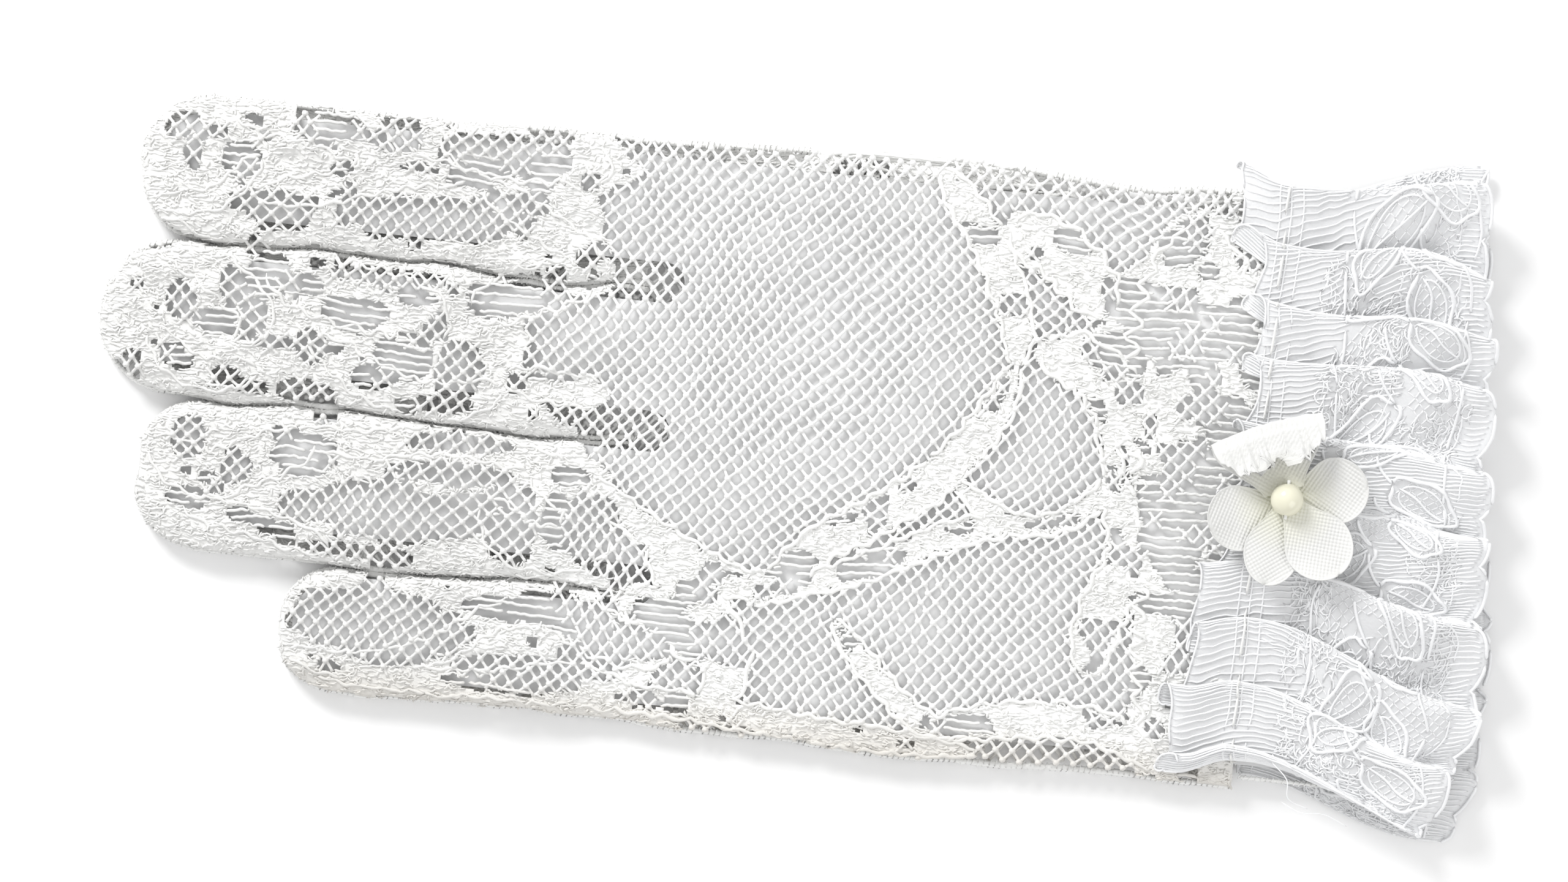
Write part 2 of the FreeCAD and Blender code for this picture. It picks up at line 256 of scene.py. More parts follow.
LACE = material("lace_thread", (0.895, 0.895, 0.88), bump=0.5, scale=3500)
NET = material("net_thread", (0.945, 0.945, 0.935), bump=0.5, scale=3500)
SEAM = material("seam_thread", (0.88, 0.88, 0.865), bump=0.5, scale=3000)
TRIM = material("trim_thread", (0.945, 0.95, 0.96), bump=0.4, scale=3500, sheen=0.1)
SHEER = material("trim_sheer", (0.95, 0.955, 0.965), bump=0.4, scale=2600, sheen=0.1,
                 Alpha=0.66)
PETAL = material("petal_cloth", (0.77, 0.77, 0.755), bump=0.4, scale=4200, sheen=0.1)
FELT = material("backing_felt", (0.84, 0.84, 0.81), vary=0.05, bump=1.0, scale=1500, rough=0.95)
PEARL = material("pearl_coat", (0.80, 0.78, 0.62), vary=0.05, rough=0.22, bump=0.02, scale=400,
                 sheen=0.0, Coat_Weight=0.9, Coat_Roughness=0.08, Specular_IOR_Level=0.5)
CARD = material("card_board", (0.81, 0.812, 0.815), vary=0.02, rough=0.7, bump=0.25, scale=900,
                sheen=0.0)


FLOWER = sum(corners("flower_backing")) / 2
tint(PETAL, (0.74, 0.735, 0.58), "SPHERICAL", FLOWER, 0, 9.0)
# Painted shade: the lace and net are darkened over the fingers, and darkened to a warm grey along
# the lower edge of the hand, where it curves under.
for painted_shade_threads in (LACE, NET):
    tint(painted_shade_threads, (0.80, 0.798, 0.785), "LINEAR", (-26, 0, 0), 180, 26.0)
    tint(painted_shade_threads, (0.70, 0.67, 0.62), "LINEAR", (0, -41.5, 0), -90, 9.0)


# ---------------------------------------------------------------- shape of the glove

FINGER_NAMES = ["index", "middle", "ring", "little"]
GAP = 0.25
FINGERS = []
for finger in FINGER_NAMES:
    low, high = corners("seam_%s_finger" % finger)
    FINGERS.append([low[1], high[1], low[0]])
for finger, below in zip(FINGERS, FINGERS[1:]):
    finger[0] = below[1] + 2 * GAP
CROTCH = corners("seam_little_side")[0][0]
CUFF = corners("palm_lace_panel")[1][0]
SEAM_Z = 1.7
CAP_POWER = 2.3      # roundness of the fingertips
CAP_REACH = 1.05     # their length, against half the finger's width
BACK_TOP = corners("insert_card")[1][2] + 0.55
PALM_FLOOR = 0.32
HAND_TOP = ((CROTCH, 45.0), (-7, 45.9), (15, 47.0), (34, 46.4), (53, 44.9), (60, 46.2),
            (CUFF + 4, 46.4))
HAND_BOTTOM = ((CROTCH, -47.4), (8, -48.2), (25, -48.9), (58, -48.0), (CUFF + 4, -48.3))
THUMB_ROOT = np.array([14.0, 46.2])
THUMB_ANGLE = math.radians(240)
THUMB_HALF = 11.5
THUMB_LENGTH = 62.0
ROOT_EDGE = 45.9
CLOTH = 0.16


def span(x):
    """Lower and upper edge of the hand at x."""
    low = np.interp(x, *zip(*HAND_BOTTOM)) + 0.35 * noise(x, 0 * x, 9, 3)
    high = np.interp(x, *zip(*HAND_TOP)) + 0.35 * noise(x, 0 * x + 50, 8, 4)
    return low, high


def finger_sides(x, number):
    """Low and high edge of one finger at x. Neighbours share the wave of their gap."""
    low, high, _ = FINGERS[number]
    tips = [finger[2] for finger in FINGERS]
    sides = []
    for edge, line in ((low, number + 1), (high, number)):
        start = tips[number] if line in (0, 4) else max(tips[line - 1], tips[line])
        fade = smooth(x, start + 3, start + 16) * (1 - smooth(x, CROTCH - 8, CROTCH))
        wave = 1.1 * noise(x, 0 * x + 40 * line, 17, 5) + 0.45 * noise(x, 0 * x, 5, 6 + line)
        sides.append(edge + fade * wave * (0.45 if line in (0, 4) else 1.0))
    return sides


def finger_place(x, y, number):
    """Distance share across one finger: under 1 inside it, over 1 beyond its sides and tip."""
    low, high = finger_sides(x, number)
    tip = FINGERS[number][2] + 0.5 * noise(y, 0 * y, 5, 3)
    half = (high - low) / 2
    across = (y - (low + high) / 2) / half
    reach = np.clip((tip + half * CAP_REACH - x) / (half * CAP_REACH), 0, None)
    return (np.abs(across) ** CAP_POWER + reach ** CAP_POWER) ** (1 / CAP_POWER)


def rise(share, power):
    """Rounded profile: 1 in the middle and 0 at the edge."""
    return np.clip(1 - np.abs(share) ** power, 0, 1) ** (1 / power)


def body_rise(x, y):
    """Height share of the lace over the hand and fingers, and whether a point is inside."""
    x, y = np.broadcast_arrays(np.asarray(x, float), np.asarray(y, float))
    low, high = span(x)
    hand = rise((y - (low + high) / 2) / ((high - low) / 2), 9)
    in_hand = (y > low) & (y < high) & (x > CROTCH - 1.5)
    fingers = np.zeros_like(x)
    in_finger = np.zeros(x.shape, bool)
    for number in range(4):
        place = finger_place(x, y, number)
        inside = (place < 1) & (x < CROTCH + 8)
        fingers = np.where(inside, np.maximum(fingers, rise(place, 4.5)), fingers)
        in_finger |= inside
    mix = smooth(x, CROTCH - 5, CROTCH + 6)
    share = fingers * (1 - mix) + hand * mix
    return share, in_hand | in_finger


def thumb_place(x, y):
    """Distance share across the folded thumb; under 1 is inside it."""
    along_axis = np.array([math.cos(THUMB_ANGLE), math.sin(THUMB_ANGLE)])
    dx, dy = x - THUMB_ROOT[0], y - THUMB_ROOT[1]
    along = dx * along_axis[0] + dy * along_axis[1]
    across = -dx * along_axis[1] + dy * along_axis[0]
    beyond = np.clip(along - (THUMB_LENGTH - THUMB_HALF), 0, None)
    return np.sqrt(across ** 2 + beyond ** 2) / THUMB_HALF


def back_z(x, y):
    """Height of the back of the glove."""
    share, _ = body_rise(x, y)
    fingers = smooth(-x, 25, 45)
    folds = ((0.4 + 0.3 * fingers) * noise(x, y, 13, 1) + (0.26 + 0.3 * fingers)
             * noise(x, y * 1.8, 5.5, 2) + (0.12 + 0.14 * fingers) * noise(x, y, 2.6, 6))
    puff = 0.75 * fingers
    return SEAM_Z + share * (BACK_TOP - SEAM_Z + 0.2 + puff + np.clip(folds + 0.2, -0.1, 1.8))


def palm_z(x, y):
    """Height of the palm side, humped over the folded thumb."""
    share, _ = body_rise(x, y)
    flat = SEAM_Z - share * (SEAM_Z - PALM_FLOOR) + 0.1 * (1 + noise(x, y, 5, 7)) * share
    over = 1 - smooth(thumb_place(x, y), 1.08, 1.32)
    return flat * (1 - over) + 1.72 * over


# ---------------------------------------------------------------- lace pattern

# Each motif is (width, points): a leaf-shaped band of dense lace along a curve.
MOTIFS_HAND = [
    (5.0, [(-35, -9), (-26, -15), (-17, -20), (-7, -24), (5, -23)]),
    (6.2, [(-5, -27), (4, -17), (13, -11), (23, -3), (30, 7), (33, 15)]),
    (5.6, [(33, 15), (32, 23), (26, 35), (18, 45)]),
    (3.5, [(24, -4), (35, -10), (44, -8), (50, -1), (47, 7)]),
    (4.5, [(1, -24), (13, -19), (25, -13), (35, -10)]),
    (3.7, [(8, -28), (15, -36), (24, -43), (34, -43)]),
    (7.5, [(50, -2), (54, -12), (50, -24), (49, -33)]),
    (7.5, [(-22, -19), (-13, -28), (-8, -37), (-11, -44)]),
    (5.6, [(24, -44), (39, -41), (52, -41), (62, -46)]),
    (8.7, [(30, 37), (39, 33), (47, 25)]),
    (8.7, [(37, 18), (46, 15), (53, 5)]),
    (22.0, [(60, 40), (62, 14), (66, -5), (67, -24), (64, -45)]),
    (4.4, [(-73, -45), (-46, -44), (-17, -44), (8, -46), (33, -47)]),
]
MOTIFS_FINGERS = [
    (6.9, [(-95, 43), (-82, 42), (-72, 38), (-76, 32)]),
    (5.0, [(-90, 30), (-79, 32), (-67, 36), (-57, 36)]),
    (9.4, [(-62, 43), (-52, 41), (-40, 41), (-37, 36)]),
    (5.0, [(-54, 35), (-43, 29), (-35, 25)]),
    (3.7, [(-106, 27), (-96, 29), (-90, 36)]),
    (6.2, [(-111, 19), (-105, 22), (-98, 19), (-88, 11), (-91, 6)]),
    (10.0, [(-87, 19), (-76, 16), (-64, 14), (-59, 9)]),
    (6.2, [(-79, 8), (-68, 2), (-58, 0), (-48, 3)]),
    (7.5, [(-54, 15), (-45, 19), (-35, 23)]),
    (5.0, [(-105, 7), (-97, 1), (-87, 2)]),
    (5.0, [(-48, 5), (-38, 4), (-31, 4)]),
    (7.5, [(-103, -11), (-94, -15), (-86, -12), (-77, -8)]),
    (4.5, [(-80, -7), (-70, -8), (-57, -6), (-47, -7), (-37, -8)]),
    (4.5, [(-97, -20), (-85, -22), (-73, -25)]),
    (7.5, [(-49, -15), (-43, -21), (-35, -21), (-29, -18)]),
    (6.2, [(-42, -9), (-34, -14), (-35, -20)]),
    (4.5, [(-78, -42), (-66, -43), (-54, -39), (-45, -33), (-32, -32)]),
    (7.5, [(-45, -28), (-35, -31), (-26, -35), (-17, -36)]),
    (3.7, [(-56, -46), (-44, -43), (-31, -41), (-21, -44)]),
    (7.5, [(-25, -28), (-17, -31), (-12, -36)]),
]
# On the fingers the lace is dense, apart from windows of net: x, y, half length, half width, turn.
WINDOWS = [
    (-86, 28, 6, 3.2, 0), (-62, 28.6, 14.5, 3.6, 2), (-68.4, 41.6, 3.8, 2.8, 0),
    (-77, 35.5, 1.8, 1.2, 20), (-46, 33, 3, 1.6, -20), (-103, 40, 3, 2, 30),
    (-79, 7, 2.3, 2.6, 0), (-55.2, 5.5, 4.2, 4.2, 15), (-79, -0.4, 4.5, 1.9, -3),
    (-92.3, 0.8, 2, 1.4, 0), (-68, 19, 9, 1.3, 0), (-38, 12, 7, 6, 35), (-100, 12, 2.2, 3, 10),
    (-57, -0.3, 5, 1.2, 0), (-63, -18.4, 17, 4.4, -1), (-43.5, -19.4, 3, 6.6, 0),
    (-31.2, -18.5, 4.5, 5.8, 10), (-54.7, -11.1, 8, 1.9, 0), (-53.6, -6.2, 10, 1.5, 2),
    (-89, -13.6, 2.4, 2.4, 0), (-97.3, -9.6, 2.4, 3, 0), (-70, -24.8, 9, 1.1, 0),
    (-63.5, -36, 13.5, 5.6, -4), (-40.4, -41.4, 11, 2.6, -3), (-30.3, -38.6, 5, 2.8, -10),
    (-22.6, -35.2, 3.5, 2.5, 0), (-8, -33.7, 6, 3, -8), (-36, 25.6, 3, 1.4, 30),
]
LADDERS = [
    (-55.8, 38.6, 4.6, 4.2, 0), (-45, 39.4, 3.6, 4.4, 0), (-80, 42.2, 5, 2.2, 0),
    (-92.6, 35.2, 3.4, 2.6, 0), (-87, 17, 4, 3.6, 0), (-94, 9.5, 4.4, 2.2, 0),
    (-72, 12.5, 4.4, 2.8, 0), (-64, 6.5, 4.8, 3.6, 0), (-49, 17.5, 6, 2.4, 0),
    (-78.3, -10.6, 5, 3.6, -5), (-49.2, -17.6, 3, 2.6, 0), (-37.4, -17.4, 2.4, 4.6, 0),
    (-36, -9.8, 3, 1.6, 0), (-96, -19, 3.4, 1.6, 0), (-0.3, -38.6, 4, 2.4, 0),
    (1.1, -20.5, 3, 2.6, 0), (13.3, -18.6, 5, 2.2, 25), (-45, -31.5, 6, 1.6, 0),
    (57, 22, 4.5, 5.5, 0), (59, -8, 4, 7, 0), (66, -20, 4, 6, 0), (47, 19, 4, 2.4, 0),
    (58, 37, 4, 2.2, 0), (55, -33, 4, 3, 0), (68, 8, 3.4, 5, 0), (40, 36, 3.6, 2, 0),
]
FILLED_EDGE = ((-48, -16), (-40, -20), (-30, -16), (-26, -27), (-14, -29), (-6, -31), (0, -37),
               (5, -45), (16, -44), (20, -31), (25, -30), (30, -35), (40, -31), (46, -35))
WRIST_EDGE = ((-48, 58), (-38, 55), (-30, 58), (-20, 60), (-8, 57), (2, 55), (10, 50), (18, 44),
              (26, 46), (32, 50), (38, 58), (44, 66), (48, 68))
MOTIF_STEP = 0.7
RASTER = 0.5
RASTER_LOW = np.array([-118.0, -54.0])
RASTER_SIZE = (400, 216)


def spline(points, step=MOTIF_STEP):
    """Smooth curve through points, sampled about every step."""
    points = np.asarray(points, float)
    padded = np.concatenate([2 * points[:1] - points[1:2], points, 2 * points[-1:] - points[-2:-1]])
    found = []
    for a, b, c, d in zip(padded, padded[1:], padded[2:], padded[3:]):
        count = max(2, int(np.linalg.norm(c - b) / step))
        t = (np.arange(count) / count)[:, None]
        found.append(0.5 * (2 * b + (c - a) * t + (2 * a - 5 * b + 4 * c - d) * t ** 2
                            + (3 * b - a - 3 * c + d) * t ** 3))
    found.append(points[-1:])
    return np.concatenate(found)


def motif_curve(width, points):
    """Centre line of a motif and its half width at each sample."""
    line = spline(points)
    share = np.linspace(-1, 1, len(line))
    half = width / 2 * np.clip(1 - np.abs(share) ** 4, 0.02, 1) ** 0.5
    wave = 1 + 0.12 * np.sin(np.arange(len(line)) * 1.1)
    return line, half * wave


def in_ellipses(ellipses, x, y):
    """Whether points lie in any of the ellipses, whose edges are ragged."""
    found = np.zeros(np.shape(x), bool)
    ragged = 1 + 0.22 * noise(x, y, 2.4, 12)
    for cx, cy, half_length, half_width, turn in ellipses:
        cos, sin = math.cos(math.radians(turn)), math.sin(math.radians(turn))
        along = ((x - cx) * cos + (y - cy) * sin) / half_length
        across = ((y - cy) * cos - (x - cx) * sin) / half_width
        found |= along ** 2 + across ** 2 < ragged ** 2
    return found


class Pattern:
    """Where the lace is dense, laddered or open, from its motifs, windows and ladders."""

    def __init__(self, motifs, windows, ladders, seed, finger_edge=None, wrist_edge=None):
        self.curves = [motif_curve(width, points) for width, points in motifs]
        self.windows, self.ladders = windows, ladders
        self.finger_edge, self.wrist_edge = finger_edge, wrist_edge
        self.seed = seed
        gx = RASTER_LOW[0] + RASTER * np.arange(RASTER_SIZE[0])
        gy = RASTER_LOW[1] + RASTER * np.arange(RASTER_SIZE[1])
        self.fields = []
        for line, half in self.curves:
            field = np.full(RASTER_SIZE, 20.0)
            reach = half.max() + 6
            first = np.maximum((line.min(axis=0) - reach - RASTER_LOW) / RASTER, 0).astype(int)
            last = ((line.max(axis=0) + reach - RASTER_LOW) / RASTER).astype(int)
            ix, iy = slice(first[0], last[0]), slice(first[1], last[1])
            px, py = np.meshgrid(gx[ix], gy[iy], indexing="ij")
            away = np.hypot(px[..., None] - line[:, 0], py[..., None] - line[:, 1]) - half
            field[ix, iy] = away.min(axis=-1)
            self.fields.append(field)
        self.field = np.min(self.fields, axis=0)

    def look(self, field, x, y):
        """Value of a raster field at each point."""
        cells = [((np.asarray(spot) - low) / RASTER + 0.5).astype(int).clip(0, size - 1)
                 for spot, low, size in zip((x, y), RASTER_LOW, RASTER_SIZE)]
        return field[tuple(cells)]

    def away(self, x, y):
        """Distance outside the nearest motif; negative inside."""
        return self.look(self.field, x, y) + 0.35 * noise(x, y, 1.6, self.seed + 1)

    def kind(self, x, y):
        """0 open net, 1 dense cloth, 2 ladder bars."""
        away = self.away(x, y)
        filled = np.zeros(np.shape(x), bool)
        wrist = filled
        if self.finger_edge:
            ragged = 2.5 * noise(x, y, 5, self.seed) + 1.2 * noise(x, y, 1.5, self.seed)
            filled = x < np.interp(y, *zip(*self.finger_edge)) + ragged
            wrist = x > np.interp(y, *zip(*self.wrist_edge)) + ragged
        dense = (away < 0) | filled | wrist
        ladder = dense & (away < -0.9) & (noise(x, y * 1.3, 6.0, self.seed + 2) > 0.42)
        ladder |= wrist & (noise(x, y, 5.0, self.seed + 2) > 0.4)
        ladder |= dense & in_ellipses(self.ladders, x, y)
        hole = dense & (away < -1.1) & (noise(x, y, 4.2, self.seed + 3) > 0.5)
        hole |= in_ellipses(self.windows, x, y) | (filled & (noise(x, y, 3.6, 13) > 0.62))
        hole |= wrist & (noise(x, y, 4.0, 13) > 0.64)
        return np.where(hole, 0, np.where(ladder, 2, np.where(dense, 1, 0)))

    def outlines(self):
        """Edge lines of every motif, without the stretches inside another motif."""
        for number, (line, half) in enumerate(self.curves):
            others = np.min([f for k, f in enumerate(self.fields) if k != number], axis=0)
            along = unit(np.gradient(line, axis=0))
            across = np.stack([-along[:, 1], along[:, 0]], axis=1) * half[:, None]
            for edge in (line + across, line - across):
                keep = self.look(others, edge[:, 0], edge[:, 1]) > -0.6
                yield from runs_of(edge, keep)


def runs_of(points, keep):
    """Stretches of points where keep is true."""
    ends = np.flatnonzero(np.diff(np.concatenate([[False], keep, [False]]).astype(int)))
    for start, stop in zip(ends[::2], ends[1::2]):
        if stop - start >= 5:
            yield points[start:stop]


NET_A = 2.46
NET_B = 1.39


def strands(across, up):
    """For each direction of a diamond net, a function that gives both ends' values."""
    for odd in (0, 1):
        line = (np.arange(up - 1) % 2) == odd
        for shift in ((-1, 0) if odd == 0 else (0, 1)):
            ends = slice(1 + shift, across - 1 + shift)
            yield lambda grid: (grid[1:-1, :-1][:, line], grid[ends, 1:][:, line])


def net(parts, inside, keep, mine, height, low, high, seed, radius=0.34):
    """Knotted net over a box: inside(x, y) is the panel, keep(x, y) its open net, mine(x, y)
    what belongs to this piece, and height(x, y) how high it lies. Strands run on one cell
    into the cloth round the net."""
    across = int((high[0] - low[0]) / NET_A) + 3
    up = int((high[1] - low[1]) / NET_B) + 3
    i, j = np.meshgrid(np.arange(across), np.arange(up), indexing="ij")
    x = low[0] + NET_A * (i + 0.5 * (j % 2))
    y = low[1] + NET_B * j
    x = x + 1.7 * noise(x, y, 19, seed + 4) + 0.3 * noise(x, y, 2.2, seed + 5)
    y = y + 1.5 * noise(x, y, 17, seed + 6) + 0.26 * noise(x, y, 2.0, seed + 7)
    within = inside(x, y)
    open_here = within & keep(x, y)
    own = within & mine(x, y)
    place = np.stack([x, y, height(x, y)], axis=-1)
    for ends in strands(across, up):
        both = ends(own)[0] & ends(within)[1]
        both &= np.logical_or(*ends(open_here))
        start, stop = (end[both] for end in ends(place))
        share = np.array([0.0, 0.06, 0.3, 0.7, 0.94, 1.0])[None, :, None]
        paths = start[:, None] * (1 - share) + stop[:, None] * share
        bow = 0.13 * noise(start[:, 0] * 9, start[:, 1] * 9, 3, seed + 8)
        paths[:, 2:4, 0] += bow[:, None]
        paths[:, 2:4, 2] += 0.05
        swell = radius * np.array([0, 1.15, 0.85, 0.85, 1.15, 0])
        parts.tubes(paths, np.broadcast_to(swell, paths.shape[:2]))
    knots = place[1:-1, 1:-1][(own & open_here)[1:-1, 1:-1]]
    offset = np.array([-0.6, -0.42, -0.05, 0.36, 0.5])
    lean = 0.3 * noise(knots[:, 0] * 5, knots[:, 1] * 5, 3, seed + 9)
    paths = np.repeat(knots[:, None], 5, axis=1)
    paths[..., 0] += offset
    paths[..., 1] += offset * lean[:, None]
    paths[..., 2] += 0.1
    fat = radius * np.array([0, 1.55, 1.75, 1.15, 0])
    parts.tubes(paths, np.broadcast_to(fat, paths.shape[:2]))


ROW_PITCH = 0.47
ROW_STEP = 0.38


def rows(parts, kind, height, low, high, seed):
    """Wavy threads along X: fat and touching in dense cloth, thin and apart in ladders."""
    x = np.arange(low[0] - 1, high[0] + 1, ROW_STEP)
    y = np.arange(low[1], high[1], ROW_PITCH)
    x, y = np.meshgrid(x, y, indexing="ij")
    y = y + 1.1 * noise(x, y, 16, seed) + 0.25 * noise(x, y, 4, seed + 1)
    here = kind(x, y)
    ladder = here == 2
    lively = np.where(ladder, 0.5, 1.0)
    y = y + lively * 0.34 * noise(x, y * 7, 0.75, seed + 2)
    x = x + lively * 0.2 * noise(x + 9, y * 7, 0.7, seed + 3)
    z = height(x, y) + lively * 0.2 * noise(x, y * 7, 0.7, seed + 4) + np.where(ladder, 0.05, 0)
    thick = np.where(ladder, 0.31, 0.2 + 0.06 * noise(x, y * 7, 0.7, seed + 5))
    number = np.arange(x.shape[1])[None, :]
    whole = (here == 1) & (noise(x * 1.4, y * 5, 1.7, seed + 6) < 0.7)
    keep = whole | (ladder & (number % 3 == 0))
    found = []
    for column in range(x.shape[1]):
        line = np.stack([x[:, column], y[:, column], z[:, column], thick[:, column]], axis=1)
        for run in runs_of(line, keep[:, column]):
            for part in np.array_split(run, max(1, len(run) // 24)):
                if len(part) >= 4:
                    found.append((part[:, :3], part[:, 3]))
    parts.threads(found)


def worms(parts, kind, height, low, high, seed, density=0.8):
    """Short stray loops of thread that roughen the dense cloth."""
    rng = np.random.default_rng(seed)
    amount = int((high[0] - low[0]) * (high[1] - low[1]) * density)
    x, y = rng.uniform(low[0], high[0], amount), rng.uniform(low[1], high[1], amount)
    chosen = kind(x, y) == 1
    x, y, amount = x[chosen], y[chosen], int(chosen.sum())
    angle = rng.normal(0, 0.8, amount)[:, None]
    reach = rng.uniform(0.35, 0.8, amount)[:, None] * np.linspace(-1, 1, 6)
    bow = rng.uniform(-0.35, 0.35, amount)[:, None] * (np.linspace(-1, 1, 6) ** 2)
    px = x[:, None] + reach * np.cos(angle) - bow * np.sin(angle)
    py = y[:, None] + reach * np.sin(angle) + bow * np.cos(angle)
    pz = height(px, py) + 0.2 - 0.3 * np.linspace(-1, 1, 6) ** 2
    radii = rng.uniform(0.14, 0.22, amount)[:, None] * np.ones(6)
    parts.tubes(np.stack([px, py, pz], axis=-1), radii)


def ground(parts, kind, height, low, high, step=0.42, thick=0.14):
    """Crinkled cloth under the rows of the dense parts."""
    x = np.arange(low[0], high[0], step)
    y = np.arange(low[1], high[1], step)
    x, y = np.meshgrid(x, y, indexing="ij")
    z = height(x, y) - 0.02 + 0.11 * noise(x, y, 0.8, 9) + 0.06 * noise(x, y * 1.6, 0.45, 10)
    parts.sheet(np.stack([x, y, z], axis=-1), kind(x, y) == 1, thick)


def cords(parts, lines, height, seed, radius=0.36, lift=0.12):
    """Thick wavy outline threads."""
    found = []
    for line in lines:
        wob = 0.3 * np.stack([noise(line[:, 0], line[:, 1], 1.1, seed),
                              noise(line[:, 0], line[:, 1], 1.0, seed + 1)], axis=1)
        line = line + wob
        z = height(line[:, 0], line[:, 1]) + lift
        thick = radius * (1 + 0.4 * noise(line[:, 0] * 3, line[:, 1] * 3, 1.6, seed + 2))
        thick = np.where(line[:, 0] < CROTCH, 0.75, 1.0) * thick
        found.append((np.column_stack([line, z]), thick))
    parts.threads(found, sides=6)


def lace_panel(name, pattern, height, inside, region, lattice, node, body, hem=()):
    """One lace panel: ground and net in one sheet, with its rows and cords on it."""
    low, high = np.array(region[0]), np.array(region[1])
    seed = pattern.seed

    def limit(x, y, margin):
        return (inside(x, y) & (x >= low[0] - margin) & (x < high[0] + margin)
                & (y >= low[1] - margin) & (y < high[1] + margin))

    def kind(x, y, margin=0.0):
        return np.where(limit(x, y, margin), pattern.kind(x, y), -1)

    cloth, trims, outline = Parts(), Parts(), Parts()
    ground(cloth, lambda x, y: kind(x, y, 1.0), height, low - 1, high + 1)
    net(cloth, inside, lambda x, y: pattern.kind(x, y) == 0, lambda x, y: limit(x, y, 0),
        height, *lattice, seed)
    rows(trims, lambda x, y: kind(x, y, 0.9), height, low, high, seed)
    worms(trims, kind, height, low, high, seed)
    lines = []
    for line in pattern.outlines():
        lines += list(runs_of(line, limit(line[:, 0], line[:, 1], 0)))
    cords(outline, lines, height, seed)
    pieces = [cloth.make(name + "_net", NET), trims.make(name + "_rows", LACE),
              outline.make(name + "_cords", LACE)]
    for piece in pieces:
        attach(piece, node, body)
    x, y = np.meshgrid(np.arange(low[0], high[0], 1.0), np.arange(low[1], high[1], 1.0))
    float(inside(x, y).sum()) * MM * MM


def in_glove(x, y):
    """Whether points lie in the flat glove, up to the cuff."""
    return body_rise(x, y)[1] & (x < CUFF)


def mirrored(y):
    """The y on the palm side that lies under a y on the back."""
    return -1.6 - y


LATTICE = ((-116.0, -52.0), (CUFF + 2, 50.0))
REGIONS = {"index_middle": ((-114.0, -2.8), (-32.0, 46.0)),
           "ring_little": ((-106.0, -48.5), (-32.0, -2.8)),
           "hand_upper": ((-32.0, -1.0), (CUFF, 49.0)),
           "hand_lower": ((-32.0, -50.5), (CUFF, -1.0))}
MOTIFS = MOTIFS_FINGERS + MOTIFS_HAND
back = Pattern(MOTIFS, WINDOWS, LADDERS, 20, FILLED_EDGE, WRIST_EDGE)
palm = Pattern([(width, [(x + 4, mirrored(y)) for x, y in points]) for width, points in MOTIFS],
               [(x + 3, mirrored(y), a, b, -turn) for x, y, a, b, turn in WINDOWS],
               [(x + 3, mirrored(y), a, b, -turn) for x, y, a, b, turn in LADDERS],
               40, [(mirrored(y), x) for y, x in FILLED_EDGE[::-1]],
               [(mirrored(y), x) for y, x in WRIST_EDGE[::-1]])
for part, region in REGIONS.items():
    lace_panel("back_lace_" + part, back, back_z, in_glove, region, LATTICE,
               "back_lace_panel", "glove")
    lace_panel("palm_lace_" + part, palm, palm_z, in_glove, region, LATTICE,
               "palm_lace_panel", "glove")


# ---------------------------------------------------------------- seams

SEAM_SEED = 60
COIL_PITCH = 0.9


def seam(label, line, radius=0.5, body="glove"):
    """Overlocked seam in place of a CAD strip: a lumpy core with thread wound round it."""
    parts = Parts()
    thick = radius * (1 + 0.3 * noise(line[:, 0] * 2, line[:, 1] * 2, 1.7, SEAM_SEED))
    parts.threads([(line, thick)], sides=8)
    steps = np.concatenate([[0], np.cumsum(np.linalg.norm(np.diff(line, axis=0), axis=1))])
    fine = np.arange(0, steps[-1], 0.22)
    centre = np.stack([np.interp(fine, steps, line[:, k]) for k in range(3)], axis=1)
    along = unit(np.gradient(centre, axis=0))
    side = unit(np.cross(along, UP))
    lift = np.cross(side, along)
    turn = fine / COIL_PITCH * 2 * math.pi
    wide = radius * 1.18 * (1 + 0.12 * noise(fine, 0 * fine, 2.0, SEAM_SEED + 1))[:, None]
    coil = centre + wide * (np.cos(turn)[:, None] * side + np.sin(turn)[:, None] * lift)
    parts.threads([(part, np.full(len(part), 0.15))
                   for part in np.array_split(coil, max(1, len(coil) // 60))], sides=4)
    attach(parts.make(label + "_overlock", SEAM), label, body)


def finger_edge(number, inset=0.2):
    """Line round one finger at seam height, from crotch to crotch."""
    low, high = FINGERS[number][:2]
    half = (high - low) / 2
    tip = FINGERS[number][2]
    turn = np.linspace(-math.pi / 2, math.pi / 2, 60)[1:-1]
    shape = ((np.abs(np.cos(turn)) ** CAP_POWER + np.abs(np.sin(turn)) ** CAP_POWER)
             ** (-1 / CAP_POWER))
    cap = half * CAP_REACH
    cap_x = tip + cap - (cap - inset) * np.cos(turn) * shape
    sides = finger_sides(cap_x, number)
    cap_y = (sides[0] + sides[1]) / 2 + ((sides[1] - sides[0]) / 2 - inset) * np.sin(turn) * shape
    cap_x = cap_x + 0.5 * noise(cap_y, 0 * cap_y, 5, 3) * np.cos(turn)
    straight = np.arange(CROTCH, tip + cap + 0.4, -0.8)
    sides = finger_sides(straight, number)
    line = np.concatenate([np.stack([straight, sides[0] + inset], axis=1),
                           np.stack([cap_x, cap_y], axis=1),
                           np.stack([straight, sides[1] - inset], axis=1)[::-1]])
    return np.column_stack([line, SEAM_Z + 0.12 * noise(line[:, 0], line[:, 1], 3, 8)])


for number, label in enumerate(FINGER_NAMES):
    seam("seam_%s_finger" % label, finger_edge(number), radius=0.42)


def side_line(start, stop, upper):
    """Line along one side of the hand at seam height."""
    x = np.arange(start, stop, 0.8)
    low, high = span(x)
    y = high - 0.1 if upper else low + 0.1
    return np.column_stack([x, y, SEAM_Z + 0.15 * noise(x, y, 3, 8)])


